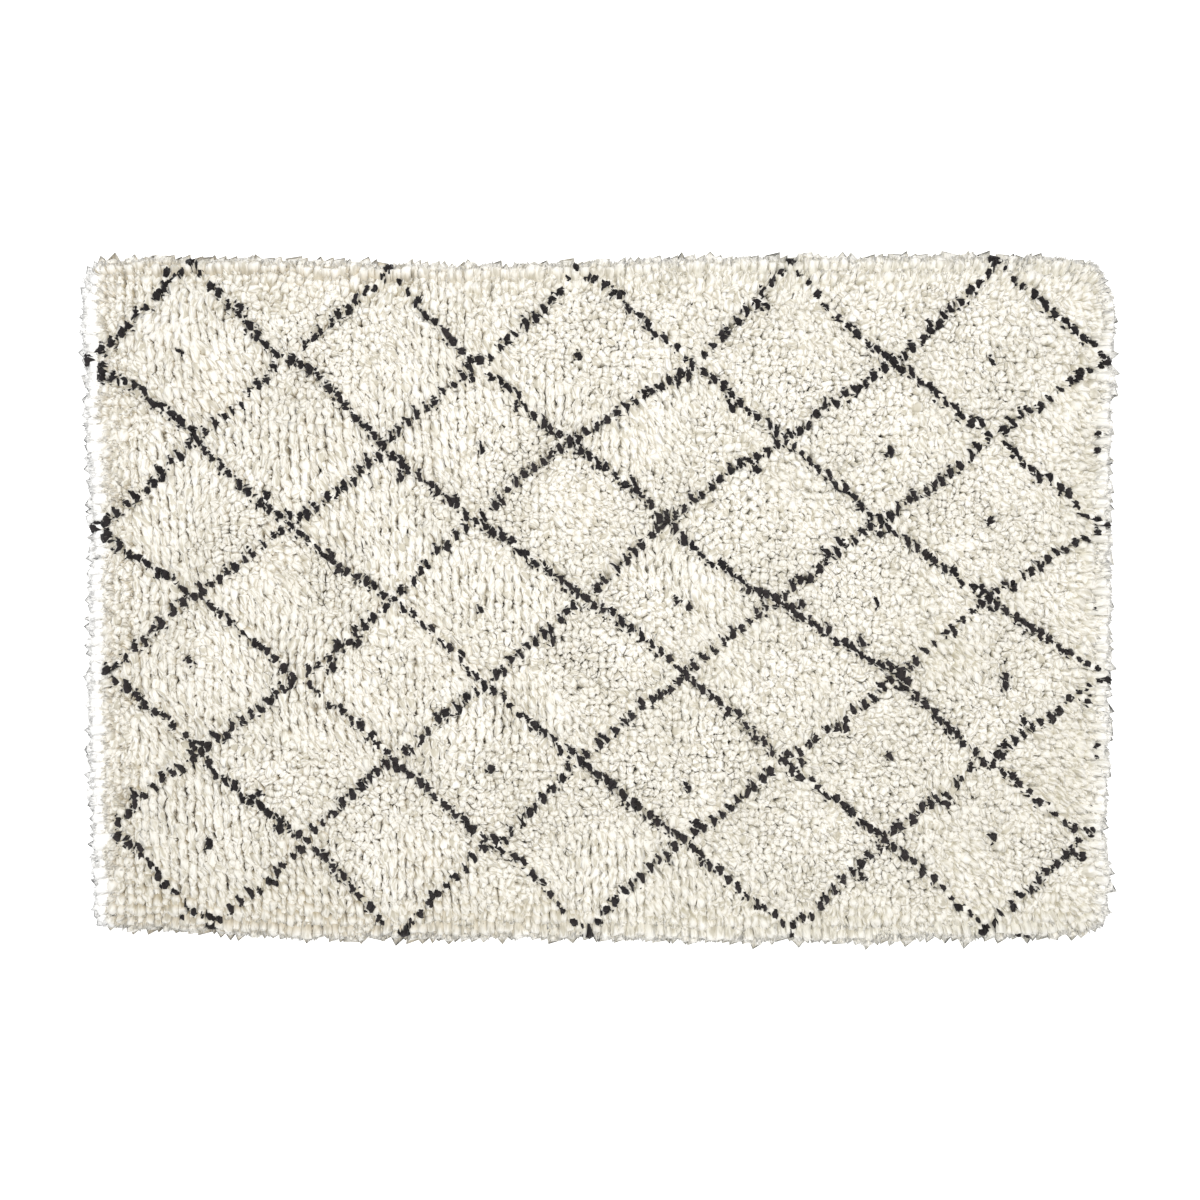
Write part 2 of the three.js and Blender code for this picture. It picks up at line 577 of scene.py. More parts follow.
@dataclass
class Planting:
    """Where and how some bunches stand, one entry for each in every array.

    The width lies along the twist and the depth across it. The rim light is the share of painted light
    that whitens a bunch, as at the rim. Bunches with a room fill it instead of their width and depth: it
    holds how far each of them may reach in some directions, evenly round from +x.
    """

    x: np.ndarray
    y: np.ndarray
    base: np.ndarray
    length: np.ndarray
    width: np.ndarray
    depth: np.ndarray
    twist: np.ndarray
    lean_x: np.ndarray
    lean_y: np.ndarray
    tone: np.ndarray
    edge: np.ndarray
    take: np.ndarray
    room: np.ndarray | None = None

    def only(self, mask: np.ndarray) -> "Planting":
        """Some of the bunches.

        Args:
            mask: Which bunches to keep.

        Returns:
            A planting of those alone.
        """
        kept = {name: None if values is None else values[mask] for name, values in vars(self).items()}
        return Planting(**kept)

    def __len__(self) -> int:
        """How many bunches there are."""
        return len(self.x)

    def spread(self, tx: np.ndarray, ty: np.ndarray) -> Places:
        """Lays a form's points out round the middle of each bunch, as it would stand upright.

        Args:
            tx: The points' x in the form.
            ty: The points' y in the form.

        Returns:
            The points' x and y from each bunch's middle, bunch by bunch.
        """
        if self.room is None:
            wide, deep = np.outer(self.width, tx), np.outer(self.depth, ty)
            cos, sin = np.cos(self.twist)[:, None], np.sin(self.twist)[:, None]
            return wide * cos - deep * sin, wide * sin + deep * cos
        turn = (np.arctan2(ty, tx) + self.twist[:, None]) % math.tau
        count = self.room.shape[1]
        step = turn * count / math.tau
        low = np.floor(step).astype(int)
        share = step - low
        bunch = np.arange(len(self))[:, None]
        before, after = self.room[bunch, low % count], self.room[bunch, (low + 1) % count]
        radius = ((1 - share) * before + share * after) * np.hypot(tx, ty)
        return radius * np.cos(turn), radius * np.sin(turn)

    def bend(self, heights: np.ndarray, stand: float) -> Bend:
        """Bends the bunches over along their lean.

        Args:
            heights: Heights in shares of a bunch's length.
            stand: The share of its lean that a bunch has at its root.

        Returns:
            Where each bunch's middle lies at each of the heights.
        """
        lean = np.maximum(np.hypot(self.lean_x, self.lean_y), LEAST_LEAN)[:, None]
        tilt, curve = stand * lean, (1 - stand) * lean
        angle = tilt + curve * heights
        length = self.length[:, None]
        return Bend(
            head_x=self.lean_x[:, None] / lean,
            head_y=self.lean_y[:, None] / lean,
            angle=angle,
            reach=length * (np.cos(tilt) - np.cos(angle)) / curve,
            rise=length * (np.sin(angle) - np.sin(tilt)) / curve,
        )

    def fill(self, sizes: np.ndarray, habit: Habit, press: Press) -> None:
        """Gives each bunch the room between it and its neighbours at their tips.

        Args:
            sizes: How big each bunch is beside its neighbours.
            habit: How the bunches bend.
            press: How they are pressed together.
        """
        bend = self.bend(np.ones(1), habit.stand)
        x = self.x + (bend.reach * bend.head_x)[:, 0]
        y = self.y + (bend.reach * bend.head_y)[:, 0]
        tree = KDTree(len(x))
        for index, place in enumerate(zip(x, y)):
            tree.insert((*place, 0), index)
        tree.balance()
        nearest = [tree.find_n((*place, 0), press.neighbours + 1) for place in zip(x, y)]
        near = np.array([[index for _, index, _ in found[1:]] for found in nearest])
        away_x, away_y = x[near] - x[:, None], y[near] - y[:, None]
        distance = np.hypot(away_x, away_y)
        half = distance * sizes[:, None] / (sizes[:, None] + sizes[near])
        turn = np.arange(press.directions) * math.tau / press.directions
        facing = away_x[..., None] * np.cos(turn) + away_y[..., None] * np.sin(turn)
        facing = facing / distance[..., None]
        wall = np.maximum(half, press.least)[..., None] / np.maximum(facing, press.glancing)
        wall = np.where(facing > press.glancing, wall, press.far)
        sharpness = press.sharpness
        self.room = ((wall**-sharpness).sum(axis=1) + press.most**-sharpness) ** (-1 / sharpness)


@dataclass
class Heap:
    """Copies of bunches gathered for one mesh, with what their material reads.

    The finished mesh is crumpled by smooth waves of the crumple's height and length, which slant as
    they rise and have a share of their own along each axis. They have their full height above the
    crumple's top and leave the roots alone. The grain, the coordinates of the fibres' pattern, is
    shifted by its step from one copy to the next.
    """

    random: np.random.Generator = field(default_factory=lambda: np.random.default_rng(3))
    crumple: float = 0.0012
    crumple_length: float = 0.026
    crumple_top: float = 0.02
    crumple_slant: float = 0.4
    crumple_shares: tuple[float, float, float] = (1.0, 1.0, 0.5)
    crumple_seed: int = 17
    grain_step: float = 0.37
    points: list = field(default_factory=list)
    faces: list = field(default_factory=list)
    along: list = field(default_factory=list)
    tone: list = field(default_factory=list)
    edge: list = field(default_factory=list)
    grain: list = field(default_factory=list)
    count: int = 0

    def plant(self, forms: list[Form], planting: Planting, habit: Habit) -> None:
        """Adds a copy of a form for each bunch, bent over along its lean.

        Args:
            forms: The takes that the bunches are copied from.
            planting: The bunches.
            habit: How the bunches bend and how uneven they are.
        """
        for take, form in enumerate(forms):
            chosen = planting.only(planting.take % len(forms) == take)
            if len(chosen):
                self._add(form, chosen, habit)

    def _add(self, form: Form, planting: Planting, habit: Habit) -> None:
        """Adds a copy of one form for each bunch.

        Args:
            form: The form to copy.
            planting: The bunches.
            habit: How the bunches bend and how uneven they are.
        """
        tx, ty, tz = form.points.T
        side_x, side_y = planting.spread(tx, ty)
        bend = planting.bend(tz, habit.stand)
        over = side_x * bend.head_x + side_y * bend.head_y
        beside = side_y * bend.head_x - side_x * bend.head_y
        out = bend.reach + over * np.cos(bend.angle)
        x = planting.x[:, None] + out * bend.head_x - beside * bend.head_y
        y = planting.y[:, None] + out * bend.head_y + beside * bend.head_x
        z = planting.base[:, None] + bend.rise - over * np.sin(bend.angle)
        copies = len(planting)
        places = np.stack([x, y, z], axis=-1)
        places += self.random.normal(0, habit.unevenness, places.shape)
        places[:, :, 2] = np.maximum(places[:, :, 2], habit.floor)
        self.points.append(places.reshape(-1, 3))
        starts = self.count + np.arange(copies) * len(tx)
        self.faces.append((form.faces[None] + starts[:, None, None]).reshape(-1, 3))
        self.count += copies * len(tx)
        self.along.append(np.broadcast_to(tz, (copies, len(tz))).ravel())
        self.tone.append(np.repeat(planting.tone, len(tz)))
        self.edge.append(np.repeat(planting.edge, len(tz)))
        wide, deep = np.outer(planting.width, tx), np.outer(planting.depth, ty)
        offset = np.broadcast_to(np.arange(copies)[:, None] * self.grain_step, wide.shape)
        grain = np.stack([deep + offset, wide + np.outer(planting.length, tz), offset], axis=-1)
        self.grain.append(grain.reshape(-1, 3))

    def build(self, name: str) -> bpy.types.Object:
        """Makes one mesh object of all the copies.

        Args:
            name: The piece's name.

        Returns:
            The piece, smooth and at the origin.
        """
        mesh = bpy.data.meshes.new(name)
        points = np.concatenate(self.points)
        x, y, z = points.T
        height = np.clip(z / self.crumple_top, 0, 1)
        slant = self.crumple_slant
        waves = np.random.default_rng(self.crumple_seed)
        for axis, share in enumerate(self.crumple_shares):
            drift = Drift(waves, self.crumple_length).at(x + slant * z, y - slant * z)
            points[:, axis] += share * self.crumple * height * drift
        faces = np.concatenate(self.faces)
        mesh.vertices.add(len(points))
        mesh.vertices.foreach_set("co", points.ravel())
        mesh.loops.add(faces.size)
        mesh.loops.foreach_set("vertex_index", faces.ravel())
        mesh.polygons.add(len(faces))
        mesh.polygons.foreach_set("loop_start", np.arange(0, faces.size, 3))
        mesh.update(calc_edges=True)
        mesh.shade_smooth()
        for label in ("along", "tone", "edge", "grain"):
            mark(mesh, label, np.concatenate(getattr(self, label)))
        piece = bpy.data.objects.new(name, mesh)
        bpy.context.scene.collection.objects.link(piece)
        return piece


@dataclass(frozen=True)
class Knot:
    """A place in the rug counted in knots: its column from the west side and its row from the north."""

    column: float
    row: float


@dataclass(frozen=True)
class Chart:
    """Which knots of the rug are charcoal, each array by column and row, with row 0 in the north.

    The pull is how many rows a charcoal knot is drawn southward to keep its line even.
    """

    dark: np.ndarray
    alone: np.ndarray
    pull: np.ndarray
    most_pull: float = 0.5

    @classmethod
    def plain(cls, columns: int, rows: int) -> "Chart":
        """A chart with no charcoal knot on it yet."""
        size = (columns, rows)
        return cls(np.zeros(size, dtype=bool), np.zeros(size, dtype=bool), np.zeros(size))

    def tie(self, column: float, row: float) -> tuple[int, int]:
        """Makes the knot at a place charcoal.

        Args:
            column: The place's column.
            row: Its row.

        Returns:
            The knot's column and row. It is the nearest one on the rug.
        """
        columns, rows = self.dark.shape
        knot = (min(max(round(column), 0), columns - 1), min(max(round(row), 0), rows - 1))
        self.dark[knot] = True
        self.pull[knot] = min(max(row - knot[1], -self.most_pull), self.most_pull)
        return knot


@dataclass(frozen=True)
class Lattice:
    """The charcoal lattice, charted in knots: its crossings, row by row, and its lone knots.

    Two crossings of neighbouring rows are joined when they are no further apart than the widest line. A
    line bows by up to the wander, each of its knots is unsteady by a share of a row, and some are
    doubled.
    """

    crossings: tuple[tuple[Knot, ...], ...] = (
        (Knot(11, 0), Knot(33, 0), Knot(54, 0), Knot(78, 0), Knot(101, 0)),
        (Knot(0, 10), Knot(21.5, 9.5), Knot(42.5, 10), Knot(67, 10), Knot(89, 10.5), Knot(113, 10)),
        (Knot(11, 18.5), Knot(32, 19), Knot(53, 18.5), Knot(77, 19), Knot(100.5, 18.5)),
        (Knot(0, 29.5), Knot(21, 28), Knot(42, 27.5), Knot(64, 27.5), Knot(88, 27.5), Knot(113, 28.5)),
        (Knot(10, 36), Knot(33, 36), Knot(55, 36), Knot(76.5, 36.5), Knot(100, 36.5)),
        (Knot(1, 45), Knot(22.5, 45), Knot(43, 45.5), Knot(66, 44.5), Knot(90, 44.5), Knot(113, 45)),
        (Knot(11, 54), Knot(33, 54), Knot(54, 54), Knot(77, 54), Knot(100, 54)),
        (Knot(1.5, 63.5), Knot(23, 63), Knot(44, 63.5), Knot(66, 63), Knot(89, 63), Knot(112, 62.5)),
        (Knot(12, 73), Knot(33.5, 73), Knot(55, 73), Knot(78, 72.5), Knot(100, 72.5)),
    )
    lone: tuple[Knot, ...] = (
        *(Knot(9, 9), Knot(54, 9), Knot(101, 10)),
        *(Knot(43, 19), Knot(89, 20), Knot(112, 18), Knot(112, 20)),
        *(Knot(100, 28), Knot(43, 37), Knot(65, 36), Knot(66, 37), Knot(88, 37), Knot(112, 37)),
        *(Knot(10, 44), Knot(102, 45), Knot(102, 46)),
        *(Knot(44, 55), Knot(89, 54), Knot(112, 53), Knot(112, 54), Knot(66, 57)),
        *(Knot(12, 64), Knot(101, 63), Knot(104, 73), Knot(105, 73)),
    )
    widest: float = 15.0
    wander: float = 0.5
    unsteady: float = 0.2
    doubled: float = 0.05
    seed: int = 29

    def chart(self, columns: int, rows: int) -> Chart:
        """Works out which knots are charcoal.

        Args:
            columns: How many knots lie along the rug.
            rows: How many lie across it.

        Returns:
            The chart.
        """
        random = np.random.default_rng(self.seed)
        chart = Chart.plain(columns, rows)
        for upper, lower in zip(self.crossings, self.crossings[1:]):
            for start, end in product(upper, lower):
                if abs(end.column - start.column) <= self.widest:
                    self._line(chart, start, end, random)
        for knot in self.lone:
            chart.alone[chart.tie(knot.column, knot.row)] = True
        return chart

    def _line(self, chart: Chart, start: Knot, end: Knot, random: np.random.Generator) -> None:
        """Ties one line of charcoal knots, a knot to a column, with a slight bow.

        Args:
            chart: The chart to tie it on.
            start: The crossing that it starts from.
            end: The crossing that it runs down to.
            random: The stream that its wandering is drawn from.
        """
        reach = end.column - start.column
        steps = abs(round(reach))
        bow = self.wander * random.uniform(-1, 1)
        for step in range(steps + 1):
            share = step / steps
            row = start.row + (end.row - start.row) * share
            row += bow * math.sin(math.pi * share) + random.uniform(-self.unsteady, self.unsteady)
            column = start.column + reach * share
            chart.tie(column, row)
            if random.random() < self.doubled:
                chart.tie(column, round(row) + random.choice((-1, 1)))


@dataclass(frozen=True)
class Splay:
    """How the pile falls outward beside one side, and how much it is whitened there by painted rim light.

    The angle is that of the tips at the rim. It falls off over some knots inward. The rim light's
    strength is how much whiter the rim is painted there.
    """

    angle: float
    knots: float
    rim_light_strength: float


@dataclass(frozen=True)
class Tying:
    """How evenly the knots are tied, in metres.

    A knot strays by the jitter: by a share more in the east and as much less in the west, and by the
    rim's share more at the rim. Rows and columns ripple, in full from the settled ring inward. A
    charcoal knot is drawn most of the way onto its line.
    """

    jitter: float = 0.0014
    eastward: float = 0.25
    at_rim: float = 0.1
    ripple: float = 0.0022
    ripple_length: float = 0.28
    settled: int = 3
    drawn: float = 0.7


@dataclass(frozen=True)
class Comb:
    """How the tufts lean and how they are combed, with angles in radians.

    All tufts lean by the nap. Their lean swirls and is unruly, but is calmed where they splay out at
    the rim. The comb draws the grain south by its strength, or north where the tufts fall north by more
    than the parting. Its share in the middle of the rug rises to the west and fades to the east, by one
    over the fade's length. It also drifts, and keeps at least the least share. The grain of charcoal
    tufts and of those in the east is turned eastward. A full grain counts as combed. A tuft twists a
    little off its grain, and more where it isn't combed.
    """

    nap: tuple[float, float] = (0.2, -0.06)
    swirl: float = 0.15
    swirl_length: float = 0.2
    unruliness: float = 0.08
    calming: float = 0.7
    strength: float = 0.9
    middle: float = 0.5
    fade: float = 1.3
    drift: float = 0.3
    drift_length: float = 0.35
    least: float = 0.35
    parting: float = 0.15
    charcoal_turn: float = 0.25
    east_turn: float = 0.3
    full: float = 0.95
    twist: float = 0.15
    loose_twist: float = 1.1


@dataclass(frozen=True)
class Yarn:
    """The tufts' yarn: the pile's depth in metres, how uneven it is, and its colour value with painted
    shade.

    The length sways and scatters by shares of the pile, within two limits, and the scatter settles
    inward from the rim. The value runs from 0, light, to 1, darker. It rises to the south as painted
    shade, sways and scatters, and is higher beside charcoal as painted shade, where a cream tuft is also
    shorter.
    A tuft's width is narrower where it isn't combed. A combed one is stretched along its grain and
    squeezed across it.
    """

    pile: float = 0.0265
    sway: float = 0.05
    sway_length: float = 0.09
    rim_scatter: float = 0.09
    settling: float = 0.06
    limits: tuple[float, float] = (-0.12, 0.07)
    tone: float = 0.45
    # Painted shade: how much darker the pile is painted towards the south
    southward: float = 0.3
    tone_sway: float = 0.2
    tone_sway_length: float = 0.16
    tone_scatter: float = 0.1
    # Painted shade: how much darker cream tufts beside charcoal are painted
    shade_beside: float = 0.8
    yielding: float = 0.13
    plump_scatter: float = 0.1
    uncombed: float = 0.94
    stretch: float = 0.2
    squeeze: float = 0.1


@dataclass(frozen=True)
class Filling:
    """How the yarn ends fill the cream pile, with distances in pitches.

    A share of the uncombed knots have two ends, and fewer of the combed ones. The two stand apart by so
    much on each side. Combed ends merge along their grain and part across it, and uncombed ones overlap
    a little. Under a charcoal tuft they are cut short.
    """

    paired: float = 0.9
    combed_single: float = 0.4
    apart: float = 0.25
    reach: float = 0.7
    merging: float = 1.0
    parting: float = 0.36
    overlap: float = 0.035
    size_scatter: float = 0.15
    length_scatter: float = 0.02
    tone_scatter: float = 0.08
    under_charcoal: float = 0.84


@dataclass
class KnotField:
    """Every knot of the rug: where it is tied, its yarn, and how its tuft stands.

    The outermost knots are tied inside the outline by the margin. Rings of knots are counted in from
    the rim, and in the west a ring is a band of some columns.
    """

    outline: Outline
    lattice: Lattice = Lattice()
    tying: Tying = Tying()
    comb: Comb = Comb()
    yarn: Yarn = Yarn()
    filling: Filling = Filling()
    columns: int = 114
    rows: int = 74
    margin: float = 0.0105
    west_band: int = 2
    seed: int = 5

    # The last number of each side paints rim light: how much whiter the rim is painted there
    SPLAYS: ClassVar[dict[str, Splay]] = {
        "west": Splay(1.2, 1.8, 0.7),
        "east": Splay(1.15, 2.2, 0.4),
        "south": Splay(1.2, 2.2, 0.2),
        "north": Splay(1.15, 1.8, 0.2),
    }

    def __post_init__(self) -> None:
        """Lays the knots out, and draws all that is uneven about them from one stream."""
        random = np.random.default_rng(self.seed)
        column, row = np.meshgrid(np.arange(self.columns), np.arange(self.rows), indexing="ij")
        self.column, self.row = column.ravel(), row.ravel()
        self.inward = {
            "west": self.column,
            "east": self.columns - 1 - self.column,
            "south": self.rows - 1 - self.row,
            "north": self.row,
        }
        bands = {**self.inward, "west": self.column // self.west_band}
        self.rings = np.min(list(bands.values()), axis=0)
        self.free = np.clip(self.rings / self.tying.settled, 0, 1)
        u = self.column / (self.columns - 1)
        v = 1 - self.row / (self.rows - 1)
        x, y = self.outline.place(u, v, self.margin)
        self._chart()
        self._tie(x, y, random)
        self._lean(x, y, random)
        self._spin(x, y, random)

    def _chart(self) -> None:
        """Finds the charcoal knots, and the cream ones beside them."""
        chart = self.lattice.chart(self.columns, self.rows)
        touching = np.zeros_like(chart.dark)
        for axis, step in product((0, 1), (-1, 1)):
            touching |= np.roll(chart.dark, step, axis)
        self.dark = chart.dark[self.column, self.row]
        self.alone = chart.alone[self.column, self.row]
        self.pull = chart.pull[self.column, self.row]
        self.beside = touching[self.column, self.row] & ~self.dark

    def _tie(self, x: np.ndarray, y: np.ndarray, random: np.random.Generator) -> None:
        """Moves the knots a little off their even places.

        Args:
            x: The even places along the rug.
            y: The even places across it.
            random: The stream that their straying is drawn from.
        """
        tying, free, count = self.tying, self.free, len(x)
        span_x = self.outline.north[0][-1] - self.outline.north[0][0]
        span_y = self.outline.west[0][-1] - self.outline.west[0][0]
        self.pitch_x = (span_x - 2 * self.margin) / (self.columns - 1)
        self.pitch_y = (span_y - 2 * self.margin) / (self.rows - 1)
        stray = tying.jitter * (1 + tying.eastward * np.clip(x / HALF_LENGTH, -1, 1))
        stray = stray * (1 + tying.at_rim - tying.at_rim * free)
        self.x = x + free * tying.ripple * Drift(random, tying.ripple_length).at(x, y)
        self.x += stray * random.normal(0, 1, count)
        self.y = y + free * tying.ripple * Drift(random, tying.ripple_length).at(x, y)
        self.y += stray * random.normal(0, 1, count)
        self.y -= tying.drawn * self.pitch_y * self.pull

    def _lean(self, x: np.ndarray, y: np.ndarray, random: np.random.Generator) -> None:
        """Leans the tufts over, lets the rim's fall outward and combs them.

        Args:
            x: The even places along the rug.
            y: The even places across it.
            random: The stream that their unevenness is drawn from.
        """
        comb = self.comb
        stray_x, stray_y = random.normal(0, comb.unruliness, (2, len(x)))
        combed = comb.middle - x / comb.fade + comb.drift * Drift(random, comb.drift_length).at(x, y)
        combed = np.clip(combed, comb.least, 1)
        lean_x = comb.nap[0] + comb.swirl * Drift(random, comb.swirl_length).at(x, y) + stray_x
        lean_y = comb.nap[1] + comb.swirl * Drift(random, comb.swirl_length).at(x, y) + stray_y
        fall = {}
        # Painted light: how much whiter each tuft near the rim is painted, set side by side
        self.edge = np.zeros(len(x))
        for side, splay in self.SPLAYS.items():
            fall[side] = splay.angle * np.exp(-self.inward[side] / splay.knots)
            self.edge = np.maximum(self.edge, splay.rim_light_strength * (fall[side] / splay.angle) ** 2)
        out_x = fall["east"] - fall["west"]
        out_y = fall["north"] - fall["south"]
        splayed = np.hypot(out_x, out_y) / max(splay.angle for splay in self.SPLAYS.values())
        over = np.maximum(splayed, 1)
        calm = 1 - np.clip(splayed, 0, 1) * comb.calming
        self.lean_x = lean_x * calm + out_x / over
        self.lean_y = lean_y * calm + out_y / over
        east = np.clip(x / HALF_LENGTH, 0, 1)
        combed = np.where(self.dark, 1, combed)
        way = np.where(out_y > comb.parting, 1, -1)
        self.grain_x = self.lean_x + comb.charcoal_turn * self.dark + comb.east_turn * east**2
        self.grain_y = self.lean_y + comb.strength * combed * calm * way
        self.combed = np.clip(np.hypot(self.grain_x, self.grain_y) / comb.full, 0, 1) ** 3

    def _spin(self, x: np.ndarray, y: np.ndarray, random: np.random.Generator) -> None:
        """Gives the tufts their length, their colour value with painted shade, twist and plumpness.

        Args:
            x: The even places along the rug.
            y: The even places across it.
            random: The stream that their unevenness is drawn from.
        """
        comb, yarn, count = self.comb, self.yarn, len(x)
        scatter = yarn.rim_scatter - yarn.settling * self.free
        uneven = yarn.sway * Drift(random, yarn.sway_length).at(x, y)
        uneven += scatter * random.normal(0, 1, count)
        self.length = yarn.pile * (1 + np.clip(uneven, *yarn.limits))
        self.yielded = 1 - yarn.yielding * self.beside
        # Painted shade: darker towards the south
        self.tone = yarn.tone - yarn.southward * y / HALF_WIDTH
        drift = yarn.tone_sway * Drift(random, yarn.tone_sway_length).at(x, y)
        self.tone += drift + random.normal(0, yarn.tone_scatter, count)
        # Painted shade beside the charcoal tufts
        self.tone = np.clip(self.tone + yarn.shade_beside * self.beside, 0, 1)
        loose = comb.twist + comb.loose_twist * (1 - self.combed) * ~self.dark
        self.twist = np.arctan2(self.grain_y, self.grain_x) + loose * random.normal(0, 1, count)
        self.take = random.integers(0, TAKES_DRAWN, count)
        self.plumpness = random.normal(1, yarn.plump_scatter, (2, count))

    def planting(self, mask: np.ndarray, width: float, depth: float, length: float = 1.0) -> Planting:
        """The planting of some of the knots' tufts.

        Args:
            mask: Which knots.
            width: The tufts' width along their grain, in column pitches.
            depth: Their depth across it, in row pitches.
            length: Their length in pile lengths.

        Returns:
            The planting.
        """
        stretch = self.yarn.uncombed + self.yarn.stretch * self.combed
        squeeze = 1 - self.yarn.squeeze * self.combed
        whole = Planting(
            x=self.x,
            y=self.y,
            base=np.full(len(self.x), ROOT_HEIGHT),
            length=self.length * length * self.yielded,
            width=self.pitch_x * width * self.plumpness[0] * stretch,
            depth=self.pitch_y * depth * self.plumpness[1] * squeeze,
            twist=self.twist,
            lean_x=self.lean_x,
            lean_y=self.lean_y,
            tone=self.tone,
            edge=self.edge,
            take=self.take,
        )
        return whole.only(mask)

    def ends(self, habit: Habit) -> tuple[Planting, np.ndarray]:
        """The yarn ends that fill the pile, one or two to a knot, pressed up against each other.

        Args:
            habit: How they bend.

        Returns:
            Their planting, and the knot that each of them belongs to.
        """
        random = np.random.default_rng(self.seed + 1)
        filling = self.filling
        every = np.arange(len(self.x))
        share = filling.paired - filling.combed_single * self.combed
        paired = ~self.dark & (random.random(len(every)) < share)
        knot = np.concatenate([every, every[paired]])
        apart = filling.apart * np.concatenate([-1.0 * paired, np.ones(paired.sum())])
        count = len(knot)
        twist = self.twist[knot]
        ends = Planting(
            x=self.x[knot] + apart * self.pitch_x * np.cos(twist),
            y=self.y[knot] + apart * self.pitch_y * np.sin(twist),
            base=np.full(count, ROOT_HEIGHT),
            length=(self.length * self.yielded)[knot] * random.normal(1, filling.length_scatter, count),
            width=np.full(count, self.pitch_x / 2),
            depth=np.full(count, self.pitch_y / 2),
            twist=twist,
            lean_x=self.lean_x[knot],
            lean_y=self.lean_y[knot],
            tone=np.clip(self.tone[knot] + random.normal(0, filling.tone_scatter, count), 0, 1),
            edge=self.edge[knot],
            take=random.integers(0, TAKES_DRAWN, count),
        )
        sizes = random.normal(1, filling.size_scatter, count)
        ends.fill(sizes, habit, Press(most=filling.reach * self.pitch_x))
        turn = np.arange(ends.room.shape[1]) * math.tau / ends.room.shape[1]
        along = np.cos(turn - np.arctan2(self.grain_y, self.grain_x)[knot, None]) ** 2
        combed = self.combed[knot, None]
        drawn = combed * (filling.merging * along - filling.parting * (1 - along))
        ends.room *= 1 + drawn + filling.overlap * (1 - combed)
        ends.length = ends.length * np.where(self.dark[knot], filling.under_charcoal, 1)
        return ends, knot


class Bench:
    """A material's node tree, with short ways to add and join its nodes."""

    def __init__(self, name: str) -> None:
        """Starts a material with an empty tree.

        Args:
            name: The material's name.
        """
        self.material = bpy.data.materials.new(name)
        self.material.use_nodes = True
        self.tree = self.material.node_tree
        self.tree.nodes.clear()

    def add(self, kind: str, inputs: dict | None = None, **settings: object) -> bpy.types.Node:
        """Adds a node.

        Args:
            kind: The node's type.
            inputs: Values or output sockets for its inputs, by name or index.
            settings: Properties of the node.

        Returns:
            The node.
        """
        node = self.tree.nodes.new(kind)
        for key, value in settings.items():
            setattr(node, key, value)
        for key, value in (inputs or {}).items():
            if isinstance(value, bpy.types.NodeSocket):
                self.tree.links.new(value, node.inputs[key])
            else:
                node.inputs[key].default_value = value
        return node

    def attribute(self, name: str, output: str = "Fac") -> bpy.types.NodeSocket:
        """Reads an attribute of the mesh.

        Args:
            name: The attribute's name.
            output: Which of the node's outputs to read.

        Returns:
            That output.
        """
        return self.add("ShaderNodeAttribute", attribute_name=name).outputs[output]

    def ramp(self, value: bpy.types.NodeSocket, stretch: Stretch) -> bpy.types.NodeSocket:
        """Spreads a stretch of a value smoothly over 0 to 1.

        Args:
            value: The value.
            stretch: Where the stretch starts and where it ends.

        Returns:
            The spread value.
        """
        node = self.add(
            "ShaderNodeMapRange",
            {"Value": value, "From Min": stretch[0], "From Max": stretch[1]},
            interpolation_type="SMOOTHSTEP",
        )
        return node.outputs["Result"]

    def mix(self, share: object, low: object, high: object, blend: str = "MIX") -> bpy.types.NodeSocket:
        """Mixes two colours.

        Args:
            share: How much of the second one there is.
            low: The first colour.
            high: The second colour.
            blend: How they are mixed.

        Returns:
            The mixed colour.
        """
        inputs = {0: share, 6: low, 7: high}
        return self.add("ShaderNodeMix", inputs, data_type="RGBA", blend_type=blend).outputs[2]

    def noise(self, place: bpy.types.NodeSocket, scale: float, detail: float) -> bpy.types.NodeSocket:
        """A cloudy pattern.

        Args:
            place: The coordinates that it follows.
            scale: Its fineness.
            detail: How many finer patterns lie over it.

        Returns:
            The pattern's value.
        """
        node = self.add("ShaderNodeTexNoise", {"Vector": place, "Scale": scale, "Detail": detail})
        return node.outputs["Fac"]

    def finish(self, shader: bpy.types.Node) -> bpy.types.Material:
        """Joins the shader to the output.

        Args:
            shader: The node that ends the tree.

        Returns:
            The finished material.
        """
        self.add("ShaderNodeOutputMaterial", {"Surface": shader.outputs[0]})
        return self.material


